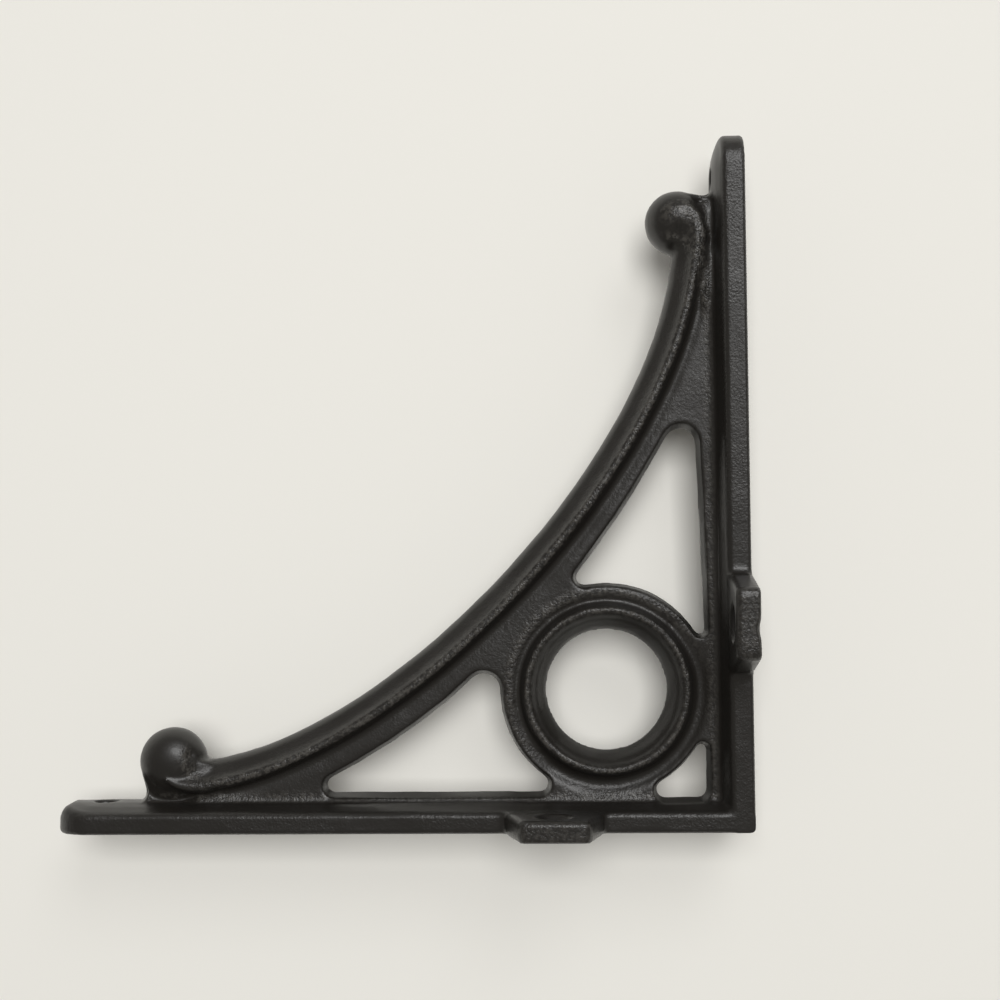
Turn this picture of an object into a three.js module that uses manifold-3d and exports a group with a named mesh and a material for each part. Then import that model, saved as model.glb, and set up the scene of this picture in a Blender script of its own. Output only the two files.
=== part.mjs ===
// Ornate cast iron shelf bracket, one casting: two flat plates at a right angle, a curved arm that
// ends in a ball scroll at each tip, and a ring set in the corner between them.
// Millimetres. X runs out along the shelf, Z is up, and the casting is alike on both sides of y = 0.
// Plans are drawn as (out, down): the distance out from the wall and the distance down from the shelf.
import * as THREE from 'three';
import { mergeVertices } from 'three/addons/utils/BufferGeometryUtils.js';
import Module from 'manifold-3d';

// The two plates
const SHELF_ARM = 152.4; // from the wall to the tip under the shelf, which is six inches
const WALL_ARM = 154; // from the shelf down to the tip on the wall
const PLATE_WIDTH = 19;
const SHELF_PLATE = 4.6; // thickness along the edges
const WALL_PLATE = 5.2;
const PLATE_CROWN = 1.9; // how much thicker a plate is along its middle, for the mould's draft
const PLATE_EDGE = 0.8; // width of the worn edge round a plate's inner face
const BACK_EDGE = 0.3; // the same round the flat face that lies on the wall or under the shelf
const TIP_CORNER = 7.5; // corner radius of a tip, seen square on

// The screw ears, one on each side of each plate
const EAR_SPAN = 48; // over both ears
const EAR_ROOT_LENGTH = 24.4; // along the plate, where the coves start
const EAR_WAIST_LENGTH = 20.6;
const EAR_END_LENGTH = 15.8;
const EAR_COVE = 3;
const EAR_CORNER = 2.4;
const WALL_EAR_DROP = 45; // from the shelf to the wall plate's ears, which is also the origin's height
const SHELF_EAR_OUT = 43.2; // from the wall to the shelf plate's ears

// The screw holes
const SCREW_BORE = 4.8;
const EAR_SCREW_HEAD = 8.4; // countersink at the inner face
const EAR_SCREW_SINK = 2;
const EAR_SCREW_SPACING = 33; // between the holes of a pair of ears
const TIP_SCREW_HEAD = 6.4;
const TIP_SCREW_SINK = 1;
const TIP_SCREW_INSET = 9; // from a tip to its hole

// The web between the plates and the arm
const WEB_THICKNESS = 7.2;
const WEB_PARTING = 0.7; // the flat along the web's outer edge, where the mould parts
const WEB_DRAFT = 0.9; // how much an opening is wider at the web's face than at its middle
const WALL_STRIP = 9.6; // from the wall to the openings
const SHELF_STRIP = 8; // from the shelf to the long opening
const CORNER_STRIP = 6.6; // from the shelf to the small opening in the corner
const WALL_ROOT = 2.2; // fillet where the web stands on a plate
const SHELF_ROOT = 1.4;
const ROOT_SINK = 0.1; // how far a fillet's edge sinks into the web's face
const WEB_END = 0.2; // how far the web's end stays inside the ball above it
const WEB_END_FILLET = 2;
const WEB_UNDER_MOULDING = 2.4; // from the arm's outer curve to the web's edge under it

// The arm, from its outer curve inwards
const ARM_WIDTH = 12.4; // from the outer curve to the openings, over most of the arm
const ARM_WIDTH_AT_APEX = 11.6; // the same beside the top of the tall opening
const SLIMMING_START = 0.54; // where along the curve the arm begins and ends to grow slimmer
const SLIMMING_END = 0.72;
const ARM_SHELF_PULL = 0.2648; // length of each end's straight pull, as a share of the plate beside it
const ARM_WALL_PULL = 0.2902;
const ARM_SHELF_ANGLE = 8.75; // degrees between the curve's end and the plate beside it
const ARM_WALL_ANGLE = 6.75;

// The moulding along the arm: depths from the outer curve, and heights over both faces
const MOULDING_WIDTH = 7.3;
const MOULDING_HEIGHT = 12;
const MOULDING_CREST = 4.4; // depth of its highest line
const MOULDING_LIP_HEIGHT = 1.7; // at the outer curve
const MOULDING_SLOPE_BEND = 1.6; // where the long slope up to the crest bends
const MOULDING_SLOPE_HEIGHT = 9.8;
const MOULDING_FLANK_BEND = 6.4; // the same for the short flank down to the web
const MOULDING_FOOT_HEIGHT = 7;
const SHELF_LAP = 5; // how far the moulding runs on into each scroll
const WALL_LAP = 7;

// The ball scrolls
const BALL_HEIGHT = 14; // over both faces
const SHELF_BALL = 15; // diameter
const SHELF_BALL_INSET = 24.6; // from the shelf tip to the ball's middle
const SHELF_BALL_DROP = 15;
const SHELF_NECK = 9.1; // from the ball's middle to the end of the arm's curve, along the plate
const SHELF_NECK_DROP = 0.4;
const WALL_BALL = 14.4;
const WALL_BALL_INSET = 19.2; // from the wall tip to the ball's middle
const WALL_BALL_OUT = 14.3;
const WALL_NECK = 9.6;
const WALL_NECK_OUT = 1.7;

// The ring, as large as fits between the two strips and the arm
const RING_BAND = 10.4; // from the bore to the ring's outside
const RING_WALL_LAP = 1.8; // how far the ring runs into each of the three
const RING_SHELF_LAP = 1.2;
const RING_ARM_LAP = 1.8;
const RING_SEAT_LAP = 0.3; // how far the web runs in under the rim
const BORE_DRAFT = 1.9; // how much wider the bore's radius is at its lip than at the middle
const BORE_LIP_HEIGHT = 8.8; // over both faces, as are the next three
const BEAD_HEIGHT = 12.4;
const GROOVE_HEIGHT = 6;
const RIM_HEIGHT = 8;
const RIM_INSET = 1.6; // from the ring's outside to the rim
const RIM_FOOT = 1.9; // the rim's width at its foot
const RIM_SLOPE = 0.5; // width of each of its two sides
const GROOVE_FLOOR = 0.6;
const BEAD_SHOULDER = 2; // from the groove to the bead's crest

// The corner rounds of the three openings
const APEX_ROUND = 3.4; // top of the tall opening
const APEX_SETBACK = 1.4; // how far it stands away from the wall strip
const TALL_HEEL_ROUND = 1.7; // where the ring meets the arm
const LONG_HEEL_ROUND = 3.6;
const WALL_FOOT_ROUND = 1; // where the ring meets a strip
const SHELF_FOOT_ROUND = 1.8;
const LONG_TIP_ROUND = 1.75;
const SQUARE_CORNER_ROUND = 1.8;

// How finely curves are stepped. The first five count the steps of a whole turn.
const RING_STEPS = 56;
const BALL_STEPS = 36;
const CURL_STEPS = 28;
const TIP_STEPS = 28;
const HOLE_STEPS = 24;
const ROUND_STEPS = 22; // of a corner round
const ARM_STEPS = 42;
const PROFILE_STEPS = 3;
const CORNER_STEPS = 5;
const SEARCH_STEPS = 50;
const SEARCH_SAMPLES = 200;
const SEARCH_SHRINK = 0.75;
const CUTTER_REACH = 20; // past the faces of anything that is cut through
const HOLE_REACH = 2; // the same for a screw hole

const wasm = await Module();
wasm.setup();

// Turning three.js geometry into solids and back

function solidOf(geometry) {
  const bare = geometry.clone();
  bare.deleteAttribute('normal');
  bare.deleteAttribute('uv');
  const merged = mergeVertices(bare, 1e-4);
  const corners = merged.index.array;
  const triangles = [];
  for (let i = 0; i < corners.length; i += 3) {
    const [a, b, c] = [corners[i], corners[i + 1], corners[i + 2]];
    if (a !== b && b !== c && c !== a) {
      triangles.push(a, b, c);
    }
  }
  return new wasm.Manifold(new wasm.Mesh({
    numProp: 3,
    vertProperties: Float32Array.from(merged.attributes.position.array),
    triVerts: Uint32Array.from(triangles),
  }));
}

function geometryOf(solid) {
  const mesh = solid.getMesh();
  const geometry = new THREE.BufferGeometry();
  geometry.setAttribute('position', new THREE.BufferAttribute(Float32Array.from(mesh.vertProperties), 3));
  geometry.setIndex(new THREE.BufferAttribute(Uint32Array.from(mesh.triVerts), 1));
  geometry.computeVertexNormals();
  return geometry;
}

function height(down) {
  return WALL_EAR_DROP - down;
}

// Adds the other half of an outline that is alike about the line where its second number is zero
function withMirror(points) {
  const otherSide = points.filter((point) => point[1] !== 0).map(([first, second]) => [first, -second]);
  return [...points, ...otherSide.reverse()];
}

function pairsOf(points) {
  return points.map((point) => [point.x, point.y]);
}

// The arm's outer curve, from the shelf's ball to the wall's ball

function directionFrom(degreesFromShelf) {
  const angle = THREE.MathUtils.degToRad(degreesFromShelf);
  return new THREE.Vector2(-Math.cos(angle), Math.sin(angle));
}

const shelfBall = new THREE.Vector2(SHELF_ARM - SHELF_BALL_INSET, SHELF_BALL_DROP);
const wallBall = new THREE.Vector2(WALL_BALL_OUT, WALL_ARM - WALL_BALL_INSET);
const armStart = new THREE.Vector2(shelfBall.x - SHELF_NECK, shelfBall.y + SHELF_NECK_DROP);
const armEnd = new THREE.Vector2(wallBall.x + WALL_NECK_OUT, wallBall.y - WALL_NECK);
const startHeading = directionFrom(ARM_SHELF_ANGLE);
const endHeading = directionFrom(90 - ARM_WALL_ANGLE);
const armCurve = new THREE.CubicBezierCurve(
  armStart,
  armStart.clone().addScaledVector(startHeading, ARM_SHELF_PULL * SHELF_ARM),
  armEnd.clone().addScaledVector(endHeading, -ARM_WALL_PULL * WALL_ARM),
  armEnd,
);

function armWidth(t) {
  const share = THREE.MathUtils.clamp((t - SLIMMING_START) / (SLIMMING_END - SLIMMING_START), 0, 1);
  return THREE.MathUtils.lerp(ARM_WIDTH, ARM_WIDTH_AT_APEX, share);
}

// A point of the arm, a given depth in from its outer curve
function insideArm(t, depth) {
  const tangent = armCurve.getTangent(t);
  return armCurve.getPoint(t).addScaledVector(new THREE.Vector2(tangent.y, -tangent.x), -depth);
}

function nearestOnArm(point) {
  const gap = (t) => armCurve.getPoint(t).distanceTo(point);
  let best = 0;
  for (let i = 1; i <= SEARCH_SAMPLES; i += 1) {
    if (gap(i / SEARCH_SAMPLES) < gap(best)) {
      best = i / SEARCH_SAMPLES;
    }
  }
  let reach = 1 / SEARCH_SAMPLES;
  for (let i = 0; i < SEARCH_STEPS; i += 1) {
    const before = Math.max(best - reach, 0);
    const after = Math.min(best + reach, 1);
    best = [before, best, after].reduce((a, b) => (gap(b) < gap(a) ? b : a));
    reach *= SEARCH_SHRINK;
  }
  return best;
}

// How far a point stands clear of the arm's inner edge
function clearOfArm(point) {
  const t = nearestOnArm(point);
  return armCurve.getPoint(t).distanceTo(point) - armWidth(t);
}

// Where a value that is above zero at one place and below it at another passes through zero
function crossing(above, below, value) {
  let high = above;
  let low = below;
  for (let i = 0; i < SEARCH_STEPS; i += 1) {
    const middle = (high + low) / 2;
    if (value(middle) > 0) {
      high = middle;
    } else {
      low = middle;
    }
  }
  return (high + low) / 2;
}

// The ring's place and size

function ringCentre(radius) {
  return new THREE.Vector2(WALL_STRIP - RING_WALL_LAP + radius, SHELF_STRIP - RING_SHELF_LAP + radius);
}

const ringRadius = crossing(RING_BAND, Math.min(SHELF_ARM, WALL_ARM) / 4,
  (radius) => clearOfArm(ringCentre(radius)) - radius + RING_ARM_LAP);
const ring = ringCentre(ringRadius);
const boreRadius = ringRadius - RING_BAND;

// An opening's outline is a chain of corner rounds. Each round is known by its middle and its radius,
// and touches the side before it and the side after it.

function onWallStrip(centre, radius) {
  return new THREE.Vector2(centre.x - radius, centre.y);
}

function onShelfStrip(centre, radius) {
  return new THREE.Vector2(centre.x, centre.y - radius);
}

function towards(centre, target, radius) {
  return target.clone().sub(centre).setLength(radius).add(centre);
}

function onRing(centre, radius) {
  return towards(centre, ring, radius);
}

function onArm(centre, radius) {
  return towards(centre, armCurve.getPoint(nearestOnArm(centre)), radius);
}

// The points of a turn about a middle, the short way from one point to another
function turn(centre, from, to, stepsOfWholeTurn = ROUND_STEPS) {
  const radius = from.distanceTo(centre);
  const start = from.clone().sub(centre).angle();
  let sweep = to.clone().sub(centre).angle() - start;
  if (sweep > Math.PI) {
    sweep -= 2 * Math.PI;
  }
  if (sweep < -Math.PI) {
    sweep += 2 * Math.PI;
  }
  const steps = Math.ceil(stepsOfWholeTurn * Math.abs(sweep) / (2 * Math.PI));
  const points = [];
  for (let i = 0; i <= steps; i += 1) {
    const angle = start + sweep * (i / steps);
    points.push([centre.x + radius * Math.cos(angle), centre.y + radius * Math.sin(angle)]);
  }
  return points;
}

function ringSide(from, to) {
  return turn(ring, from, to, RING_STEPS).slice(1, -1);
}

// The arm's inner edge is straighter than its outer curve, so half the steps do
function armSide(from, to) {
  const start = nearestOnArm(from);
  const end = nearestOnArm(to);
  const steps = Math.ceil(ARM_STEPS * Math.abs(end - start) / 2);
  const points = [];
  for (let i = 1; i < steps; i += 1) {
    const t = THREE.MathUtils.lerp(start, end, i / steps);
    const point = insideArm(t, armWidth(t));
    points.push([point.x, point.y]);
  }
  return points;
}

// The middle of a round that touches the ring and a strip, on the side of the ring that the sign says
function ringAndWallStrip(radius, sign) {
  const out = WALL_STRIP + radius;
  const along = Math.sqrt((ringRadius + radius) ** 2 - (ring.x - out) ** 2);
  return new THREE.Vector2(out, ring.y + sign * along);
}

function ringAndShelfStrip(strip, radius, sign) {
  const down = strip + radius;
  const along = Math.sqrt((ringRadius + radius) ** 2 - (ring.y - down) ** 2);
  return new THREE.Vector2(ring.x + sign * along, down);
}

// The middle of a round that touches the ring and the arm. The search goes round the ring from an
// angle where the round stands clear of the arm to one where it doesn't.
function ringAndArm(radius, clearAngle, armAngle) {
  const place = (angle) => new THREE.Vector2(Math.cos(angle), Math.sin(angle))
    .multiplyScalar(ringRadius + radius).add(ring);
  return place(crossing(clearAngle, armAngle, (angle) => clearOfArm(place(angle)) - radius));
}

function tallOpening() {
  const out = WALL_STRIP + APEX_SETBACK + APEX_ROUND;
  const down = crossing(ring.y + ringRadius, WALL_ARM,
    (value) => clearOfArm(new THREE.Vector2(out, value)) - APEX_ROUND);
  const apex = new THREE.Vector2(out, down);
  const heel = ringAndArm(TALL_HEEL_ROUND, Math.PI / 2, Math.PI / 4);
  const foot = ringAndWallStrip(WALL_FOOT_ROUND, 1);
  const apexArm = onArm(apex, APEX_ROUND);
  const heelArm = onArm(heel, TALL_HEEL_ROUND);
  const heelRing = onRing(heel, TALL_HEEL_ROUND);
  const footRing = onRing(foot, WALL_FOOT_ROUND);
  return [
    ...turn(apex, onWallStrip(apex, APEX_ROUND), apexArm),
    ...armSide(apexArm, heelArm),
    ...turn(heel, heelArm, heelRing),
    ...ringSide(heelRing, footRing),
    ...turn(foot, footRing, onWallStrip(foot, WALL_FOOT_ROUND)),
  ];
}

function longOpening() {
  const down = SHELF_STRIP + LONG_TIP_ROUND;
  const out = crossing(ring.x + ringRadius, SHELF_ARM,
    (value) => clearOfArm(new THREE.Vector2(value, down)) - LONG_TIP_ROUND);
  const tip = new THREE.Vector2(out, down);
  const heel = ringAndArm(LONG_HEEL_ROUND, 0, Math.PI / 4);
  const foot = ringAndShelfStrip(SHELF_STRIP, SHELF_FOOT_ROUND, 1);
  const tipArm = onArm(tip, LONG_TIP_ROUND);
  const heelArm = onArm(heel, LONG_HEEL_ROUND);
  const heelRing = onRing(heel, LONG_HEEL_ROUND);
  const footRing = onRing(foot, SHELF_FOOT_ROUND);
  return [
    ...turn(tip, onShelfStrip(tip, LONG_TIP_ROUND), tipArm),
    ...armSide(tipArm, heelArm),
    ...turn(heel, heelArm, heelRing),
    ...ringSide(heelRing, footRing),
    ...turn(foot, footRing, onShelfStrip(foot, SHELF_FOOT_ROUND)),
  ];
}

function cornerOpening() {
  const low = ringAndWallStrip(WALL_FOOT_ROUND, -1);
  const far = ringAndShelfStrip(CORNER_STRIP, SHELF_FOOT_ROUND, -1);
  const square = new THREE.Vector2(WALL_STRIP, CORNER_STRIP).addScalar(SQUARE_CORNER_ROUND);
  const lowRing = onRing(low, WALL_FOOT_ROUND);
  const farRing = onRing(far, SHELF_FOOT_ROUND);
  return [
    ...turn(low, onWallStrip(low, WALL_FOOT_ROUND), lowRing),
    ...ringSide(lowRing, farRing),
    ...turn(far, farRing, onShelfStrip(far, SHELF_FOOT_ROUND)),
    ...turn(square, onShelfStrip(square, SQUARE_CORNER_ROUND), onWallStrip(square, SQUARE_CORNER_ROUND)),
  ];
}

// Solids extruded from plans, which end up on edge with their thickness along y

function onEdge(geometry) {
  return geometry.rotateX(Math.PI / 2);
}

// A hole through the web that grows wider from the middle plane to each face
function draftedCutter(points) {
  const half = WEB_THICKNESS / 2;
  const shape = new THREE.Shape(points.map(([out, down]) => new THREE.Vector2(out, height(down))));
  const geometry = onEdge(new THREE.ExtrudeGeometry(shape, {
    depth: CUTTER_REACH,
    bevelEnabled: true,
    bevelSegments: 1,
    bevelSize: WEB_DRAFT,
    bevelThickness: half,
  }));
  geometry.translate(0, -half, 0);
  const oneSide = solidOf(geometry);
  return oneSide.add(oneSide.mirror([0, 1, 0]));
}

const shelfWebEnd = shelfBall.x + SHELF_BALL / 2 - WEB_END;
const wallWebEnd = wallBall.y + WALL_BALL / 2 - WEB_END;

// The web fills the corner out to the arm, and its outer edge slopes like the openings
function webSolid() {
  const shape = new THREE.Shape();
  shape.moveTo(WALL_PLATE / 2, height(SHELF_PLATE / 2));
  shape.lineTo(shelfWebEnd + WEB_END_FILLET, height(SHELF_PLATE / 2));
  shape.lineTo(shelfWebEnd + WEB_END_FILLET, height(SHELF_PLATE));
  shape.quadraticCurveTo(shelfWebEnd, height(SHELF_PLATE), shelfWebEnd, height(SHELF_PLATE + WEB_END_FILLET));
  shape.lineTo(shelfWebEnd, height(shelfBall.y));
  shape.lineTo(shelfBall.x, height(shelfBall.y));
  for (let i = 0; i <= ARM_STEPS; i += 1) {
    const point = insideArm(i / ARM_STEPS, WEB_UNDER_MOULDING);
    shape.lineTo(point.x, height(point.y));
  }
  shape.lineTo(wallBall.x, height(wallBall.y));
  shape.lineTo(wallBall.x, height(wallWebEnd));
  shape.lineTo(WALL_PLATE + WEB_END_FILLET, height(wallWebEnd));
  shape.quadraticCurveTo(WALL_PLATE, height(wallWebEnd), WALL_PLATE, height(wallWebEnd + WEB_END_FILLET));
  shape.lineTo(WALL_PLATE / 2, height(wallWebEnd + WEB_END_FILLET));
  const geometry = onEdge(new THREE.ExtrudeGeometry(shape, {
    depth: WEB_PARTING,
    curveSegments: CORNER_STEPS,
    bevelEnabled: true,
    bevelSegments: 1,
    bevelOffset: -WEB_DRAFT,
    bevelSize: WEB_DRAFT,
    bevelThickness: (WEB_THICKNESS - WEB_PARTING) / 2,
  }));
  geometry.translate(0, WEB_PARTING / 2, 0);
  return solidOf(geometry);
}

// Solids turned about a line across the web, from profiles of (radius, y)

function turned(profile, centre, steps) {
  const points = profile.map(([radius, y]) => new THREE.Vector2(radius, y));
  const geometry = new THREE.LatheGeometry(points, steps);
  geometry.translate(centre.x, 0, height(centre.y));
  return solidOf(geometry);
}

function dome(centre, radius, fullHeight, steps) {
  const rows = steps / 4;
  const profile = [];
  for (let i = 0; i <= rows; i += 1) {
    const angle = Math.PI * (i / rows) - Math.PI / 2;
    const across = i === 0 || i === rows ? 0 : radius * Math.cos(angle);
    profile.push([across, (fullHeight / 2) * Math.sin(angle)]);
  }
  return turned(profile, centre, steps);
}

// A quarter of an oval, from its foot up to its crest, as (radius, y)
function quarterRound(foot, footHeight, crest, crestHeight) {
  const points = [];
  for (let i = 0; i <= PROFILE_STEPS; i += 1) {
    const angle = (Math.PI / 2) * (i / PROFILE_STEPS);
    points.push([
      crest + (foot - crest) * Math.cos(angle),
      (footHeight + (crestHeight - footHeight) * Math.sin(angle)) / 2,
    ]);
  }
  return points;
}

// The ring from its seat in the web inwards: rim, groove, bead and bore
function ringSolid() {
  const rim = ringRadius - RIM_INSET;
  const groove = rim - RIM_FOOT;
  const beadFoot = groove - GROOVE_FLOOR;
  const crest = beadFoot - BEAD_SHOULDER;
  const profile = withMirror([
    [rim, 0],
    [rim, GROOVE_HEIGHT / 2],
    [rim - RIM_SLOPE, RIM_HEIGHT / 2],
    [groove + RIM_SLOPE, RIM_HEIGHT / 2],
    [groove, GROOVE_HEIGHT / 2],
    ...quarterRound(beadFoot, GROOVE_HEIGHT, crest, BEAD_HEIGHT),
    ...quarterRound(boreRadius + BORE_DRAFT, BORE_LIP_HEIGHT, crest, BEAD_HEIGHT).reverse().slice(1),
    [boreRadius, 0],
  ]);
  return turned([...profile, profile[0]], ring, RING_STEPS);
}

function ringSeat() {
  const radius = ringRadius - RIM_INSET - RING_SEAT_LAP;
  return turned([[0, -CUTTER_REACH], [radius, -CUTTER_REACH], [radius, CUTTER_REACH], [0, CUTTER_REACH]],
    ring, RING_STEPS);
}

// The arm's moulding, one section all along, run on into each scroll and rounded off there

function placed(point) {
  return new THREE.Vector3(point.x, 0, height(point.y));
}

function mouldingSection() {
  const path = new THREE.Path();
  path.moveTo(0, MOULDING_LIP_HEIGHT / 2);
  path.quadraticCurveTo(MOULDING_SLOPE_BEND, MOULDING_SLOPE_HEIGHT / 2, MOULDING_CREST, MOULDING_HEIGHT / 2);
  path.quadraticCurveTo(MOULDING_FLANK_BEND, MOULDING_HEIGHT / 2, MOULDING_WIDTH, MOULDING_FOOT_HEIGHT / 2);
  return withMirror(pairsOf(path.getPoints(PROFILE_STEPS)));
}

function mouldingSolid() {
  const path = new THREE.CurvePath();
  path.add(new THREE.LineCurve3(placed(armStart.clone().addScaledVector(startHeading, -SHELF_LAP)),
    placed(armStart)));
  path.add(new THREE.CubicBezierCurve3(placed(armCurve.v0), placed(armCurve.v1),
    placed(armCurve.v2), placed(armCurve.v3)));
  path.add(new THREE.LineCurve3(placed(armEnd),
    placed(armEnd.clone().addScaledVector(endHeading, WALL_LAP))));
  const shape = new THREE.Shape(mouldingSection().map(([depth, y]) => new THREE.Vector2(-y, depth)));
  const bar = solidOf(new THREE.ExtrudeGeometry(shape, { steps: ARM_STEPS, extrudePath: path }));
  const middle = MOULDING_WIDTH / 2;
  const firstRound = insideArm(0, middle).addScaledVector(startHeading, -SHELF_LAP);
  const lastRound = insideArm(1, middle).addScaledVector(endHeading, WALL_LAP);
  return bar.add(dome(firstRound, middle, MOULDING_HEIGHT, CURL_STEPS))
    .add(dome(lastRound, middle, MOULDING_HEIGHT, CURL_STEPS));
}

// A plate is drawn flat as (along, across), with its back at depth zero, and then put in its place

function onShelf(geometry) {
  geometry.rotateX(Math.PI);
  geometry.translate(0, 0, height(0));
  return solidOf(geometry);
}

function onWall(geometry) {
  geometry.rotateY(Math.PI / 2);
  geometry.translate(0, 0, height(0));
  return solidOf(geometry);
}

// One side of a plate with its ear, from a little past the corner, where it is cut off later, to the tip
function plateSide(length, earCentre) {
  const side = PLATE_WIDTH / 2;
  const reach = EAR_SPAN / 2;
  const root = EAR_ROOT_LENGTH / 2;
  const waist = EAR_WAIST_LENGTH / 2;
  const end = EAR_END_LENGTH / 2;
  const path = new THREE.Path();
  path.moveTo(-PLATE_EDGE, side);
  path.lineTo(earCentre - root, side);
  path.quadraticCurveTo(earCentre - waist, side, earCentre - waist, side + EAR_COVE);
  path.lineTo(earCentre - end, reach - EAR_CORNER);
  path.quadraticCurveTo(earCentre - end, reach, earCentre - end + EAR_CORNER, reach);
  path.lineTo(earCentre + end - EAR_CORNER, reach);
  path.quadraticCurveTo(earCentre + end, reach, earCentre + end, reach - EAR_CORNER);
  path.lineTo(earCentre + waist, side + EAR_COVE);
  path.quadraticCurveTo(earCentre + waist, side, earCentre + root, side);
  path.lineTo(length - TIP_CORNER, side);
  path.absarc(length - TIP_CORNER, side - TIP_CORNER, TIP_CORNER, Math.PI / 2, 0, true);
  return pairsOf(path.getPoints(CORNER_STEPS));
}

// A plate's back stands out here by the difference of its two edges, until both backs are cut flat
function plateBody(length, thickness, earCentre) {
  const outline = withMirror(plateSide(length, earCentre));
  const shape = new THREE.Shape(outline.map(([along, across]) => new THREE.Vector2(along, across)));
  const geometry = new THREE.ExtrudeGeometry(shape, {
    depth: thickness - PLATE_EDGE - BACK_EDGE,
    bevelEnabled: true,
    bevelSegments: 1,
    bevelOffset: -PLATE_EDGE,
    bevelSize: PLATE_EDGE,
    bevelThickness: PLATE_EDGE,
  });
  return geometry.translate(0, 0, BACK_EDGE);
}

function beyondBacks() {
  const reach = 2 * (SHELF_ARM + WALL_ARM);
  const wall = new THREE.BoxGeometry(CUTTER_REACH, reach, reach);
  wall.translate(-CUTTER_REACH / 2, 0, 0);
  const shelf = new THREE.BoxGeometry(reach, reach, CUTTER_REACH);
  shelf.translate(0, 0, height(0) + CUTTER_REACH / 2);
  return solidOf(wall).add(solidOf(shelf));
}

// A bar along a plate, from a section of (depth, across)
function plateBar(section, length) {
  const shape = new THREE.Shape(section.map(([depth, across]) => new THREE.Vector2(-depth, across)));
  const geometry = new THREE.ExtrudeGeometry(shape, { depth: length, bevelEnabled: false });
  return geometry.rotateY(Math.PI / 2);
}

// A solid turned about a line through a plate, from a profile of (radius, depth)
function plateTurned(profile, along, across, steps) {
  const points = profile.map(([radius, depth]) => new THREE.Vector2(radius, depth));
  const geometry = new THREE.LatheGeometry(points, steps);
  geometry.rotateX(Math.PI / 2);
  return geometry.translate(along, across, 0);
}

const crownSide = PLATE_WIDTH / 2 - PLATE_EDGE;

// How much thicker the crown makes a plate at a distance from its middle line
function crownAt(across) {
  return PLATE_CROWN * (1 - (across / crownSide) ** 2);
}

// The low swell along a plate's middle, and the round that ends it before the tip
function crownParts(length, thickness) {
  const base = thickness - PLATE_EDGE;
  const end = length - PLATE_EDGE - crownSide;
  const surface = [];
  for (let i = PROFILE_STEPS; i >= 0; i -= 1) {
    const across = crownSide * (i / PROFILE_STEPS);
    surface.push([thickness + crownAt(across), across]);
  }
  const swell = plateBar(withMirror([[base, crownSide], ...surface]), end);
  const profile = [[0, base], [crownSide, base], ...surface.map(([depth, across]) => [across, depth])];
  return [swell, plateTurned(profile, end, 0, TIP_STEPS)];
}

// The hollow fillets on both sides of the web's foot
function rootBar(length, thickness, fillet) {
  const edge = WEB_THICKNESS / 2 + fillet;
  const face = thickness + crownAt(edge);
  const section = [[thickness - PLATE_EDGE, edge]];
  for (let i = 0; i <= PROFILE_STEPS; i += 1) {
    const angle = (Math.PI / 2) * (i / PROFILE_STEPS);
    section.push([face + fillet * (1 - Math.cos(angle)), edge - (fillet + ROOT_SINK) * Math.sin(angle)]);
  }
  return plateBar(withMirror(section), length);
}

function screwHole(along, across, face, head, sink) {
  const bore = SCREW_BORE / 2;
  return plateTurned([
    [0, -HOLE_REACH],
    [bore, -HOLE_REACH],
    [bore, face - sink],
    [head / 2, face],
    [head / 2, face + HOLE_REACH],
    [0, face + HOLE_REACH],
  ], along, across, HOLE_STEPS);
}

function plateParts(length, thickness, earCentre, webEnd, fillet) {
  return [
    plateBody(length, thickness, earCentre),
    ...crownParts(length, thickness),
    rootBar(webEnd - WEB_DRAFT, thickness, fillet),
  ];
}

function plateHoles(length, thickness, earCentre) {
  const across = EAR_SCREW_SPACING / 2;
  const tipFace = thickness + crownAt(0);
  return [
    screwHole(earCentre, across, thickness, EAR_SCREW_HEAD, EAR_SCREW_SINK),
    screwHole(earCentre, -across, thickness, EAR_SCREW_HEAD, EAR_SCREW_SINK),
    screwHole(length - TIP_SCREW_INSET, 0, tipFace, TIP_SCREW_HEAD, TIP_SCREW_SINK),
  ];
}

function bracketSolid() {
  const plates = [
    ...plateParts(SHELF_ARM, SHELF_PLATE, SHELF_EAR_OUT, shelfWebEnd, SHELF_ROOT).map(onShelf),
    ...plateParts(WALL_ARM, WALL_PLATE, WALL_EAR_DROP, wallWebEnd, WALL_ROOT).map(onWall),
  ];
  const holes = [
    ...plateHoles(SHELF_ARM, SHELF_PLATE, SHELF_EAR_OUT).map(onShelf),
    ...plateHoles(WALL_ARM, WALL_PLATE, WALL_EAR_DROP).map(onWall),
  ];
  let solid = webSolid();
  for (const plate of plates) {
    solid = solid.add(plate);
  }
  for (const outline of [tallOpening(), longOpening(), cornerOpening()]) {
    solid = solid.subtract(draftedCutter(outline));
  }
  solid = solid.subtract(ringSeat()).add(ringSolid());
  solid = solid.add(mouldingSolid());
  solid = solid.add(dome(shelfBall, SHELF_BALL / 2, BALL_HEIGHT, BALL_STEPS));
  solid = solid.add(dome(wallBall, WALL_BALL / 2, BALL_HEIGHT, BALL_STEPS));
  solid = solid.subtract(beyondBacks());
  for (const hole of holes) {
    solid = solid.subtract(hole);
  }
  return solid;
}

const paintedIron = new THREE.MeshStandardMaterial({ color: 0x1f1e1d, roughness: 0.48, metalness: 0.1 });
const bracket = new THREE.Mesh(geometryOf(bracketSolid()), paintedIron);
bracket.name = 'bracket_casting';

const group = new THREE.Group();
group.add(bracket);
export default group;
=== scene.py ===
import math
import bmesh
import bpy
import numpy as np
from mathutils import Matrix, Vector, noise


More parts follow.
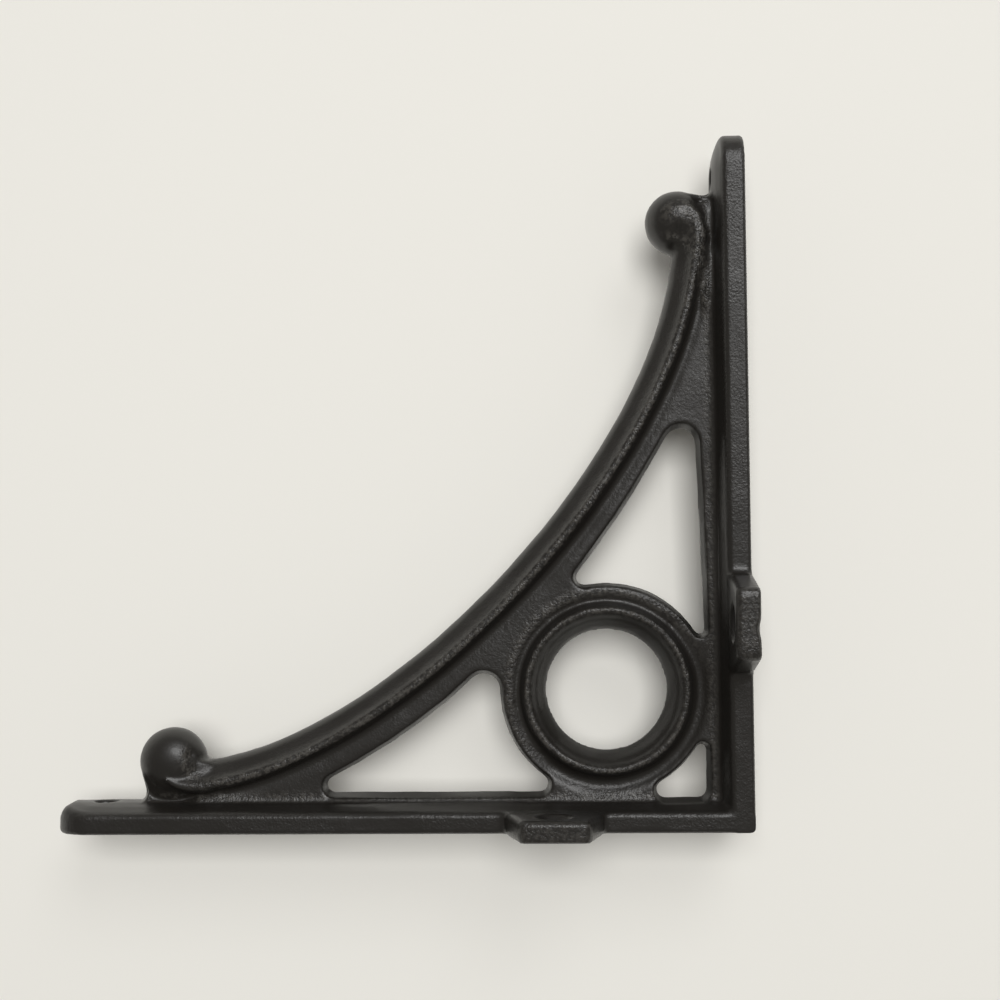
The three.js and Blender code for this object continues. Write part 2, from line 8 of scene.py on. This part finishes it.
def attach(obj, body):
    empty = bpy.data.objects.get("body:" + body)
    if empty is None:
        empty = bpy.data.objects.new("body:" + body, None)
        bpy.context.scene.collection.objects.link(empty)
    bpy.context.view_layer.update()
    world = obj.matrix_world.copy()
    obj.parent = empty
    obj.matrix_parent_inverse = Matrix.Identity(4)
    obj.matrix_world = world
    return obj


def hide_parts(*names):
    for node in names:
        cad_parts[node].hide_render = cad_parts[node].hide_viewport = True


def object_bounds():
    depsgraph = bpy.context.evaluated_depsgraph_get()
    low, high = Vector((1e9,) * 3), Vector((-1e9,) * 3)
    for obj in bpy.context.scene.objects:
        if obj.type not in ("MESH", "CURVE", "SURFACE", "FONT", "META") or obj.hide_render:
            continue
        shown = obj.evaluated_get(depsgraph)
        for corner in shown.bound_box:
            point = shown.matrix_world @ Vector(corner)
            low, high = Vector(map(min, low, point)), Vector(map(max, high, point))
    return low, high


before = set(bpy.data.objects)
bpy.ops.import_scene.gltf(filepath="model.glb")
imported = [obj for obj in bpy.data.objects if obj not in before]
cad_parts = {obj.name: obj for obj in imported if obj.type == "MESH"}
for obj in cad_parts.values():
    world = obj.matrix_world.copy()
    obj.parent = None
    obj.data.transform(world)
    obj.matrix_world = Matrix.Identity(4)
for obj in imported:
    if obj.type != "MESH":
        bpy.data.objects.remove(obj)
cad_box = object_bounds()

# The web and the two plates of a shelf bracket, poured with all the rest as one iron casting. Here they
# are taken over from the solid and pressed level where the moulding, ring and balls will be laid on.
# Sizes are in millimetres, and places are given as out from the wall and down from the shelf.
MM = 0.001
SHELF_TOP = 45.0
WEB_HALF = 3.6
WALL_ROOT_END = 8.5
SHELF_ROOT_END = 7.3
MERGE = 0.001


def mesh_object(name, shape):
    mesh = bpy.data.meshes.new(name)
    shape.to_mesh(mesh)
    shape.free()
    made = bpy.data.objects.new(name, mesh)
    bpy.context.scene.collection.objects.link(made)
    return made


shape = bmesh.new()
shape.from_mesh(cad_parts["bracket_casting"].data)
bmesh.ops.remove_doubles(shape, verts=shape.verts, dist=MERGE * MM)
for vert in shape.verts:
    out = vert.co.x / MM
    down = SHELF_TOP - vert.co.z / MM
    if out > WALL_ROOT_END and down > SHELF_ROOT_END:
        vert.co.y = max(-WEB_HALF * MM, min(WEB_HALF * MM, vert.co.y))
core = mesh_object("web_and_plates", shape)

# The arm's moulding, cast with the web: a thin lip at the outer curve, a broad slope, a rough crest and
# a steep flank down to the web. At each end the lip climbs and both edges close in a pointed curl on the
# ball. Its section is drawn as depth from the outer curve and height above the middle plane.
ARM_ENDS = ((118.7, 15.4), (78.82, 21.54), (21.25, 80.82), (16.0, 125.2))
ARM_STATIONS = 240
MOULDING_WIDTH = 7.6
LIP = 0.9
CREST = 6.2
CREST_DEPTH = 4.3
FOOT = 3.3
OUTER_SECTION = ((0.0, LIP), (0.4, 2.0), (0.8, 2.7), (1.6, 3.4), (2.4, 4.1), (3.2, 4.8), (3.8, 5.5),
                 (4.1, 6.0), (4.5, 6.25), (5.1, 6.3))
INNER_SECTION = ((5.6, 6.2), (6.0, 5.8), (6.3, 5.0), (6.6, 4.2), (7.0, 3.6), (MOULDING_WIDTH, FOOT))
SHELF_CURL = (((118.7, 15.4), (123.6, 15.6), (128.8, 11.9)), ((117.5, 7.8), (124.8, 5.2), (128.8, 11.9)))
WALL_CURL = (((16.0, 125.2), (15.4, 129.0), (11.0, 133.0)), ((8.4, 124.3), (7.2, 129.0), (11.0, 133.0)))
CURL_SHARE = 0.1
CURL_LIP = 6.8
CURL_CREST = 7.1
CURL_FOOT = 6.3
CURL_DIP = 1.1
SHELF_LIP_CLIMB = 0.45
WALL_LIP_CLIMB = 1.5
SHELF_FOOT_CLIMB = 3
WALL_FOOT_CLIMB = 0.4
WELD = 0.02


def place(out, down, y=0.0):
    return Vector((out * MM, y * MM, (SHELF_TOP - down) * MM))


def along_arm(share):
    """A point of the arm's outer curve and the direction inwards from it."""
    a, b, c, d = (Vector(point) for point in ARM_ENDS)
    rest = 1 - share
    point = a * rest ** 3 + b * 3 * share * rest ** 2 + c * 3 * share ** 2 * rest + d * share ** 3
    slope = (b - a) * rest ** 2 + (c - b) * 2 * share * rest + (d - c) * share ** 2
    slope.normalize()
    return point, Vector((-slope.y, slope.x))


def along_bend(points, share):
    a, b, c = (Vector(point) for point in points)
    return a * (1 - share) ** 2 + b * 2 * share * (1 - share) + c * share ** 2


def mix(low, high, share):
    return low + (high - low) * share


def section_point(along, step):
    """A point of the moulding's outline, counted once round both faces, at a share of its whole length."""
    section = OUTER_SECTION + INNER_SECTION
    side = 1 if step < len(section) else -1
    depth, level = section[step if side > 0 else 2 * len(section) - 1 - step]
    at_shelf = along < CURL_SHARE
    curl = max(0.0, 1 - along / CURL_SHARE, 1 - (1 - along) / CURL_SHARE)
    if curl > 0:
        bends = SHELF_CURL if at_shelf else WALL_CURL
        outer = along_bend(bends[0], curl)
        inner = along_bend(bends[1], curl)
    else:
        outer, inward = along_arm((along - CURL_SHARE) / (1 - 2 * CURL_SHARE))
        inner = outer + inward * MOULDING_WIDTH
    crest = mix(CREST, CURL_CREST, curl)
    if depth <= OUTER_SECTION[-1][0]:
        standard = LIP
        low = mix(LIP, CURL_LIP, curl ** (SHELF_LIP_CLIMB if at_shelf else WALL_LIP_CLIMB))
    else:
        standard = FOOT
        low = mix(FOOT, CURL_FOOT, curl ** (SHELF_FOOT_CLIMB if at_shelf else WALL_FOOT_CLIMB))
    level = low + (crest - low) * (level - standard) / (CREST - standard)
    if at_shelf and depth < CREST_DEPTH:
        level -= CURL_DIP * math.sin(math.pi * depth / CREST_DEPTH) * math.sin(math.pi * curl) ** 0.5
    spot = outer.lerp(inner, depth / MOULDING_WIDTH)
    return place(spot.x, spot.y, side * level)


shape = bmesh.new()
around = 2 * (len(OUTER_SECTION) + len(INNER_SECTION))
bmesh.ops.create_grid(shape, x_segments=ARM_STATIONS, y_segments=around, size=1.0)
for vert in shape.verts:
    vert.co = section_point((vert.co.x + 1) / 2, round((vert.co.y + 1) / 2 * around) % around)
bmesh.ops.remove_doubles(shape, verts=shape.verts, dist=WELD * MM)
bmesh.ops.recalc_face_normals(shape, faces=shape.faces)
moulding = mesh_object("moulding", shape)

# Two rough bands at the wall end, cast with the arm. One carries the moulding's crest on over the top of
# the wall ball. The other, slimmer and lower, starts on the web beside it and runs towards the ball.
WALL_BAND = ((10.9, 117.0), (7.0, 139.6), (16.2, 136.2))
WEB_BAND = ((9.0, 111.0), (8.3, 120.0), (7.9, 131.0))
WEB_BAND_WIDTH = 0.6
WEB_BAND_HEIGHT = 0.68
BAND_SECTION = ((-1.9, 0.0), (-1.9, 5.4), (-1.5, 6.2), (-0.8, 6.6), (0.0, 6.7), (0.8, 6.6), (1.5, 6.2),
                (1.9, 5.4))
BAND_STEP = 0.01
BAND_RISE = 0.45
BAND_TAPER = 0.1
BAND_START = 0.55
bands = []
for bend, slimness, lowness in ((WALL_BAND, 1.0, 1.0), (WEB_BAND, WEB_BAND_WIDTH, WEB_BAND_HEIGHT)):
    shape = bmesh.new()
    loop = BAND_SECTION + tuple((-across, -level) for across, level in BAND_SECTION)
    bmesh.ops.create_grid(shape, x_segments=ARM_STATIONS, y_segments=len(loop), size=1.0)
    for vert in shape.verts:
        along = (vert.co.x + 1) / 2
        across, level = loop[round((vert.co.y + 1) / 2 * len(loop)) % len(loop)]
        ahead = along_bend(bend, along + BAND_STEP) - along_bend(bend, along - BAND_STEP)
        ahead.normalize()
        width = min(1, along / BAND_RISE, (1 - along) / BAND_TAPER)
        aside = across * slimness * (1 - (1 - width) ** 2) ** 0.5
        spot = along_bend(bend, along) + Vector((-ahead.y, ahead.x)) * aside
        level *= lowness * mix(BAND_START, 1, min(1, along / BAND_RISE) ** 0.5)
        vert.co = place(spot.x, spot.y, level)
    bmesh.ops.remove_doubles(shape, verts=shape.verts, dist=WELD * MM)
    bmesh.ops.recalc_face_normals(shape, faces=shape.faces)
    bands.append(mesh_object("band", shape))

# The ring in the corner, cast with the web: a bore that opens towards both faces, a round bead, a groove
# and a low outer rim. It is spun from one outline of radius and height above the middle plane.
RING = (31.43, 30.43)
RING_STEPS = 180
RING_PROFILE = ((13.25, 0.0), (13.9, 1.6), (14.7, 3.0), (15.4, 4.1), (15.8, 4.4), (16.1, 5.1), (16.6, 5.9),
                (17.2, 6.3), (17.9, 6.3), (18.3, 5.9), (18.6, 5.1), (18.9, 4.1), (19.3, 3.2), (19.8, 2.6),
                (20.4, 2.4), (20.9, 2.8), (21.4, 3.4), (21.9, 3.75), (22.4, 3.6), (22.8, 3.2), (23.1, 2.6),
                (23.1, 0.0))
shape = bmesh.new()
loop = RING_PROFILE + tuple((radius, -y) for radius, y in RING_PROFILE[-2:0:-1])
verts = [shape.verts.new(place(RING[0] + radius, RING[1], y)) for radius, y in loop]
edges = [shape.edges.new((vert, verts[i - 1])) for i, vert in enumerate(verts)]
bmesh.ops.spin(shape, geom=verts + edges, cent=place(*RING), axis=(0, 1, 0), angle=2 * math.pi,
               steps=RING_STEPS, use_merge=True)
bmesh.ops.recalc_face_normals(shape, faces=shape.faces)
ring = mesh_object("ring", shape)

# The balls at the arm's two ends, cast with the rest and a little flattened. Each is given by its place
# and radius.
BALLS = ((127.8, 15.0, 7.5), (14.3, 134.8, 7.25))
BALL_HALF = 6.95
BALL_STEPS = 96
balls = []
for out, down, radius in BALLS:
    shape = bmesh.new()
    bmesh.ops.create_uvsphere(shape, u_segments=BALL_STEPS, v_segments=BALL_STEPS // 2, radius=1.0)
    bmesh.ops.scale(shape, verts=shape.verts, vec=(radius * MM, BALL_HALF * MM, radius * MM))
    bmesh.ops.translate(shape, verts=shape.verts, vec=place(out, down))
    balls.append(mesh_object("ball", shape))

# The whole casting. Its parts are fused as poured iron is, and softened as sand and paint soften it. The
# backs of the plates, which lie on the wall and under the shelf, are smoothed in their own plane only.
VOXEL = 0.5
TRIANGLES = 190000
BACK_ZONE = 1.0
SMOOTHINGS = (0.5, -0.5) * 3 + (0.5,)


def modified(target, kind, **settings):
    """The target's mesh as one modifier makes it."""
    modifier = target.modifiers.new(kind, kind)
    for name, value in settings.items():
        setattr(modifier, name, value)
    depsgraph = bpy.context.evaluated_depsgraph_get()
    depsgraph.update()
    made = bpy.data.meshes.new_from_object(target.evaluated_get(depsgraph))
    target.modifiers.clear()
    return made


whole = [core, moulding, ring, *bands, *balls]
with bpy.context.temp_override(active_object=core, selected_editable_objects=whole):
    bpy.ops.object.join()
bracket = core
bracket.name = "bracket_iron"
bracket.data = modified(bracket, "REMESH", mode="VOXEL", voxel_size=VOXEL * MM)
shape = bmesh.new()
shape.from_mesh(bracket.data)
groups = {(True, True): [], (True, False): [], (False, True): [], (False, False): []}
for vert in shape.verts:
    groups[vert.co.x > BACK_ZONE * MM, vert.co.z < (SHELF_TOP - BACK_ZONE) * MM].append(vert)
for factor in SMOOTHINGS:
    for (along_x, along_z), verts in groups.items():
        bmesh.ops.smooth_vert(shape, verts=verts, factor=factor, use_axis_x=along_x, use_axis_y=True,
                              use_axis_z=along_z)
shape.to_mesh(bracket.data)
shape.free()
bracket.data = modified(bracket, "DECIMATE", ratio=TRIANGLES / (2 * len(bracket.data.polygons)))
skin = bracket.data

# The finer cuts, cast where ridges stood in the sand mould: a groove beside the moulding, one round each
# ball and one in the ring, and hollows in the curls. All go straight in from both faces.
GROOVE_DEPTH = 0.4
GROOVE_IN = 7.8
GROOVE_WIDTH = 1.2
GROOVE_OUT_END = 117
GROOVE_DOWN_END = 124
ARM_SAMPLES = 400
MOAT_DEPTH = 1.1
MOAT_RADIUS = 8.7
MOAT_WIDTH = 1.2
MOAT_TOP = 6.4
MOAT_FADE = 2
RING_GROOVE = (21.0, 1.4, 1.1)
CORNER_LEAN = 0.6
CORNER_FADE = 20
HOLLOWS = ((123.2, 16.7, 0.9, 0.6), (14.7, 131.4, 1.9, 1.2), (15.6, 128.9, 0.6, 0.6), (9.4, 139.3, 0.9, 0.9))
UNCUT_HALF = 1.5


def bell(values, middle, width):
    return np.exp(-((values - middle) / width) ** 2)


def read_vectors(elements, name):
    flat = np.empty(len(elements) * 3)
    elements.foreach_get(name, flat)
    return flat.reshape(-1, 3)


points = read_vectors(skin.vertices, "co") / MM
outs = points[:, 0]
downs = SHELF_TOP - points[:, 2]
arm_gaps = np.full(len(points), np.inf)
for i in range(ARM_SAMPLES + 1):
    sample = along_arm(i / ARM_SAMPLES)[0]
    arm_gaps = np.minimum(arm_gaps, np.hypot(outs - sample.x, downs - sample.y))
cut = GROOVE_DEPTH * bell(arm_gaps, GROOVE_IN, GROOVE_WIDTH)
cut *= (downs < GROOVE_DOWN_END) & (outs < GROOVE_OUT_END)
cut *= (downs > SHELF_ROOT_END) & (outs > WALL_ROOT_END)
for out, down, radius in BALLS:
    reach = np.hypot(outs - out, downs - down)
    towards_plate = np.clip((down - downs if out > down else out - outs) / radius, 0, 1)
    moat = MOAT_DEPTH * bell(reach, MOAT_RADIUS, MOAT_WIDTH) * towards_plate
    cut = np.maximum(cut, moat * np.clip((MOAT_TOP - np.abs(points[:, 1])) / MOAT_FADE, 0, 1))
for out, down, width, depth in HOLLOWS:
    cut += depth * bell(np.hypot(outs - out, downs - down), 0, width)
from_ring = np.hypot(outs - RING[0], downs - RING[1])
towards_corner = (RING[1] - downs + CORNER_LEAN * (RING[0] - outs)) / CORNER_FADE
towards_corner = np.clip(towards_corner + 0.5, 0, 1)
middle, width, depth = RING_GROOVE
cut += depth * bell(from_ring, middle, width) * towards_corner
points[:, 1] -= np.sign(points[:, 1]) * cut * (np.abs(points[:, 1]) > UNCUT_HALF)

# The casting's ends: the web drawn back under both balls, the outer corner of the plates rounded, the
# shelf plate's face rolled off at its tip and one ear nicked. The skin is then made a little uneven and
# kept inside the solid's box. While the points move, outs moves with them and downs stays as it was.
SHELF_END = (130.5, 3.5, -1.3)
SHELF_END_DOWN = (8.6, 2.8)
WALL_END = (138.5, 2.5, -0.7)
WALL_END_OUT = (8.6, 2.2)
CORNER_ROUND = 1.1
TIP_ROUND_START = 142.9
TIP_ROUND_REACH = 8.7
TIP_EDGE = 1.8
CROWN = 1.9
CROWN_FOOT = 3.8
NICK = (43.8, 1.5, 0.7)
NICK_REACH = 2.5
EAR_END = -24
UNEVEN = ((9.0, 0.10), (3.2, 0.05))


def drawn_back(along, end, beside, strip):
    start, reach, shift = end
    return shift * np.clip((along - start) / reach, 0, 1) * bell(beside, *strip)


points[:, 0] += drawn_back(outs, SHELF_END, downs, SHELF_END_DOWN)
points[:, 2] -= drawn_back(downs, WALL_END, outs, WALL_END_OUT)
corner = np.hypot(CORNER_ROUND - outs, CORNER_ROUND - downs)
pull = (outs < CORNER_ROUND) & (downs < CORNER_ROUND) & (corner > CORNER_ROUND)
points[pull, 0] = CORNER_ROUND - (CORNER_ROUND - outs[pull]) * CORNER_ROUND / corner[pull]
points[pull, 2] = SHELF_TOP - CORNER_ROUND + (CORNER_ROUND - downs[pull]) * CORNER_ROUND / corner[pull]
beyond = np.clip(outs - TIP_ROUND_START, 0, None)
rolled = 1 - (np.hypot(beyond, points[:, 1]) / TIP_ROUND_REACH) ** 2
straight = 1 - (points[:, 1] / TIP_ROUND_REACH) ** 2
straight *= np.clip((TIP_ROUND_REACH - beyond) / TIP_EDGE, 0, 1) ** 0.5
lift = CROWN * (np.clip(straight, 0, 1) - np.clip(rolled, 0, 1))
points[:, 2] -= lift * (downs > CROWN_FOOT) * (beyond > 0)
down, width, depth = NICK
nick = depth * bell(downs, down, width) * bell(points[:, 1], EAR_END, width)
points[:, 0] += nick * np.clip(NICK_REACH - outs, 0, 1)
normals = read_vectors(skin.vertices, "normal")
for grain, swing in UNEVEN:
    rise = np.array([noise.noise(Vector(point / grain)) for point in points])
    rise *= swing * ((outs > BACK_ZONE) & (downs > BACK_ZONE))
    points += normals * rise[:, None]
points = np.clip(points, np.array(cad_box[0]) / MM, np.array(cad_box[1]) / MM)
skin.vertices.foreach_set("co", (points * MM).ravel())

# The skin is shaded smooth all over, except on the backs of the two plates. Those are level, and so
# their edges stay crisp.
LEVEL = 0.999
skin.shade_smooth()
skin.update()
facing = read_vectors(skin.polygons, "normal")
skin.polygons.foreach_set("use_smooth", (facing[:, 0] > -LEVEL) & (facing[:, 2] < LEVEL))

# How rough the skin is: roughest on the crests and beside the plates, where the sand was disturbed when
# the pattern was drawn, and smooth on the balls and on steep faces. A rough band is given by what it is
# measured from, its middle, its width, the least height above the middle plane and its strength.
BAND_SAMPLES = 40
BAND_REACH = 2.4
BAND_LEAST = 5.6
WEB_PATCH = (8.6, 118)
WEB_PATCH_REACH = 1.2
WEB_PATCH_STRETCH = 6
WEB_PATCH_LEAST = 3.4
ROUGH_BANDS = (("arm", 5.1, 1.4, 4.6, 1.0), ("ring", 17.6, 0.9, 5.0, 0.9), ("rim", 21.7, 1.1, 2.8, 0.8),
               ("shelf", 7.2, 1.0, 3.0, 0.7), ("wall", 8.4, 1.0, 3.0, 0.5))
RELIEF_TOP = 7.5
EAR_SIDE = 22.5
EAR_ROUGHNESS = 0.4
STEEP = 0.45
STEEP_FADE = 0.4
STEEP_LEAST = 0.12
BALL_CALM = 0.75
BALL_CALM_REACH = 0.8
PLATE_SIDE = 8.8
PLAIN_GRAIN = 0.29
CREST_GRAIN = 0.8
PLATE_GRAIN = 0.18
heights = np.abs(points[:, 1])
crests = np.zeros(len(points))
for i in range(BAND_SAMPLES + 1):
    spot = along_bend(WALL_BAND, i / BAND_SAMPLES)
    crests = np.maximum(crests, bell(np.hypot(outs - spot.x, downs - spot.y), 0, BAND_REACH))
crests *= heights > BAND_LEAST
patch = bell(np.hypot(outs - WEB_PATCH[0], (downs - WEB_PATCH[1]) / WEB_PATCH_STRETCH), 0, WEB_PATCH_REACH)
crests = np.maximum(crests, patch * (heights > WEB_PATCH_LEAST))
measured = {"arm": arm_gaps, "ring": from_ring, "rim": from_ring, "shelf": downs, "wall": outs}
for kind, middle, width, least, share in ROUGH_BANDS:
    here = share * bell(measured[kind], middle, width) * (heights > least)
    if kind == "rim":
        here *= 1 - towards_corner
    crests = np.maximum(crests, here * (heights < RELIEF_TOP))
crests = np.maximum(crests, EAR_ROUGHNESS * (heights > EAR_SIDE))
flatness = np.clip((np.abs(normals[:, 1]) - STEEP) / STEEP_FADE, STEEP_LEAST, 1)
calm = np.ones(len(points))
for out, down, radius in BALLS:
    calm -= BALL_CALM * bell(np.hypot(outs - out, downs - down), 0, radius * BALL_CALM_REACH)
grain = PLAIN_GRAIN * calm + CREST_GRAIN * crests + PLATE_GRAIN * (heights > PLATE_SIDE)
# The mask for greyer paint on the crests, ears and plate sides: partly thin worn paint, partly a painted
# highlight.
for name, values in (("grain", flatness * grain), ("worn_and_highlight", flatness * crests)):
    layer = skin.attributes.new(name, "FLOAT", "POINT")
    layer.data.foreach_set("value", values)

# The finish: satin black paint, brushed thinly over the sand-cast skin, which shows through as a fine
# orange peel with pits. It is strongest where the skin is rough, and there the paint is also thinner and
# greyer, which is partly wear and partly a painted highlight on the crests. A range is given by two values
# of a noise and what they turn into.
BLACK = (0.0125, 0.0110, 0.0092, 1)
# The greyer paint: worn thin paint, and in part a painted highlight along the crests.
THIN_AND_HIGHLIGHT = (0.050, 0.046, 0.040, 1)
COAT = 0.15
COAT_ROUGHNESS = 0.13
PEEL_SCALE = 1050
PEEL_DETAIL = 2.5
PEEL_ROUGHNESS = 0.6
PITS_SCALE = 2100
PITS_SHARE = 0.3
PATCH_SCALE = 60
PATCH_DETAIL = 3.0
PATCH_RELIEF = (0.35, 0.65, 0.5, 1.2)
PATCH_ROUGHNESS = (0.3, 0.7, 0.35, 0.46)
WORN_AND_HIGHLIGHT_PEEL = (0.42, 0.62, 0.0, 1.0)
PEEL_HEIGHT = 0.30
iron = bpy.data.materials.new("black_painted_iron")
iron.use_nodes = True
nodes = iron.node_tree.nodes
links = iron.node_tree.links
paint = nodes["Principled BSDF"]
paint.inputs["Coat Weight"].default_value = COAT
paint.inputs["Coat Roughness"].default_value = COAT_ROUGHNESS
coords = nodes.new("ShaderNodeTexCoord")


def noise_at(scale, detail, roughness=0.5):
    made = nodes.new("ShaderNodeTexNoise")
    made.inputs["Scale"].default_value = scale
    made.inputs["Detail"].default_value = detail
    made.inputs["Roughness"].default_value = roughness
    links.new(coords.outputs["Object"], made.inputs["Vector"])
    return made.outputs["Fac"]


def attribute(name):
    made = nodes.new("ShaderNodeAttribute")
    made.attribute_name = name
    return made.outputs["Fac"]


def ranged(source, limits):
    made = nodes.new("ShaderNodeMapRange")
    made.interpolation_type = "SMOOTHSTEP"
    for name, value in zip(("From Min", "From Max", "To Min", "To Max"), limits):
        made.inputs[name].default_value = value
    links.new(source, made.inputs["Value"])
    return made.outputs["Result"]


def joined(kind, first, second):
    made = nodes.new("ShaderNodeMath")
    made.operation = kind
    for socket, value in zip(made.inputs, (first, second)):
        if isinstance(value, (int, float)):
            socket.default_value = value
        else:
            links.new(value, socket)
    return made.outputs["Value"]


peel = noise_at(PEEL_SCALE, PEEL_DETAIL, PEEL_ROUGHNESS)
pits = noise_at(PITS_SCALE, 1.0)
patches = noise_at(PATCH_SCALE, PATCH_DETAIL)
relief = joined("ADD", peel, joined("MULTIPLY", pits, PITS_SHARE))
relief = joined("MULTIPLY", relief, attribute("grain"))
relief = joined("MULTIPLY", relief, ranged(patches, PATCH_RELIEF))
bump = nodes.new("ShaderNodeBump")
bump.inputs["Strength"].default_value = 1.0
bump.inputs["Distance"].default_value = PEEL_HEIGHT * MM
links.new(relief, bump.inputs["Height"])
links.new(bump.outputs["Normal"], paint.inputs["Normal"])
links.new(bump.outputs["Normal"], paint.inputs["Coat Normal"])
colour = nodes.new("ShaderNodeMix")
colour.data_type = "RGBA"
colour.inputs["A"].default_value = BLACK
colour.inputs["B"].default_value = THIN_AND_HIGHLIGHT
# Greyer paint where the mask is set: partly wear, partly a painted highlight on the crests.
links.new(joined("MULTIPLY", attribute("worn_and_highlight"), ranged(peel, WORN_AND_HIGHLIGHT_PEEL)), colour.inputs["Factor"])
links.new(colour.outputs["Result"], paint.inputs["Base Color"])
links.new(ranged(patches, PATCH_ROUGHNESS), paint.inputs["Roughness"])
skin.materials.clear()
skin.materials.append(iron)
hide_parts("bracket_casting")
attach(bracket, "root")

# The pale floor: a matt sheet that the bracket lies against, just behind its ears. It shows from the
# bracket's side only, so that the far side can be looked at too.
SHEET_Y = 24.2
SHEET_HALF = 1500
CREAM = (0.800, 0.785, 0.735, 1)
CREAM_ROUGHNESS = 0.9
CREAM_SPECULAR = 0.2
shape = bmesh.new()
bmesh.ops.create_grid(shape, x_segments=1, y_segments=1, size=SHEET_HALF * MM)
bmesh.ops.rotate(shape, verts=shape.verts, cent=(0, 0, 0), matrix=Matrix.Rotation(math.pi / 2, 3, "X"))
bmesh.ops.translate(shape, verts=shape.verts, vec=(0, SHEET_Y * MM, 0))
sheet = mesh_object("sheet", shape)
pale = bpy.data.materials.new("pale_sheet")
pale.use_nodes = True
nodes = pale.node_tree.nodes
links = pale.node_tree.links
matt = nodes["Principled BSDF"]
matt.inputs["Base Color"].default_value = CREAM
matt.inputs["Roughness"].default_value = CREAM_ROUGHNESS
matt.inputs["Specular IOR Level"].default_value = CREAM_SPECULAR
face = nodes.new("ShaderNodeNewGeometry")
clear = nodes.new("ShaderNodeBsdfTransparent")
either = nodes.new("ShaderNodeMixShader")
links.new(face.outputs["Backfacing"], either.inputs["Fac"])
links.new(matt.outputs["BSDF"], either.inputs[1])
links.new(clear.outputs["BSDF"], either.inputs[2])
links.new(either.outputs["Shader"], nodes["Material Output"].inputs["Surface"])
sheet.data.materials.append(pale)

# Soft studio light: a dim room, a broad lamp near the camera that isn't mirrored in the paint, and a
# window above and to the right of the picture. A third lamp in the window's place only adds to its
# reflection. Places and sizes of lamps are in metres.
ROOM = (1.0, 0.97, 0.92, 1)
ROOM_STRENGTH = 0.20
AIM = Vector((0.05, 0.0, -0.02))
FILL_TOWARDS = (-0.02, -1.0, -0.12)
FILL_DISTANCE = 1.5
FILL_POWER = 17.5
FILL_SIZE = 0.55
WINDOW_TOWARDS = (-0.22, -0.84, -0.54)
WINDOW_DISTANCE = 1.7
WINDOW_POWER = 4
WINDOW_SIZE = 0.7
GLINT_POWER = 18
room = bpy.data.worlds.new("room")
bpy.context.scene.world = room
room.use_nodes = True
room.node_tree.nodes["Background"].inputs["Color"].default_value = ROOM
room.node_tree.nodes["Background"].inputs["Strength"].default_value = ROOM_STRENGTH


def lamp(name, towards, distance, power, size):
    light = bpy.data.lights.new(name, "AREA")
    light.energy = power
    light.size = size
    made = bpy.data.objects.new(name, light)
    made.location = AIM + Vector(towards).normalized() * distance
    made.rotation_euler = (AIM - made.location).to_track_quat("-Z", "Y").to_euler()
    bpy.context.scene.collection.objects.link(made)
    return made


fill = lamp("fill", FILL_TOWARDS, FILL_DISTANCE, FILL_POWER, FILL_SIZE)
fill.visible_glossy = False
lamp("window", WINDOW_TOWARDS, WINDOW_DISTANCE, WINDOW_POWER, WINDOW_SIZE)
glint = lamp("glint", WINDOW_TOWARDS, WINDOW_DISTANCE, GLINT_POWER, WINDOW_SIZE)
glint.visible_diffuse = False

# The camera looks at the side of the bracket, as the photograph does, with the wall plate at the right
# and the shelf plate at the bottom. Its place and nearest distance are in metres.
SENSOR = 36
LENS = 57.96
NEAREST = 0.01
CAMERA_AT = (0.045716, -0.359972, -0.006067)
RIGHT = Vector((-0.99965, 0.02542, 0.00713))
UP = Vector((-0.00864, -0.05967, -0.99818))
camera = bpy.data.objects.new("camera", bpy.data.cameras.new("camera"))
camera.data.sensor_width = SENSOR
camera.data.lens = LENS
camera.data.clip_start = NEAREST
turned = Matrix((RIGHT, UP, RIGHT.cross(UP))).transposed()
camera.matrix_world = Matrix.Translation(CAMERA_AT) @ turned.to_4x4()
bpy.context.scene.collection.objects.link(camera)
bpy.context.scene.camera = camera
bpy.context.scene.view_settings.view_transform = "Standard"
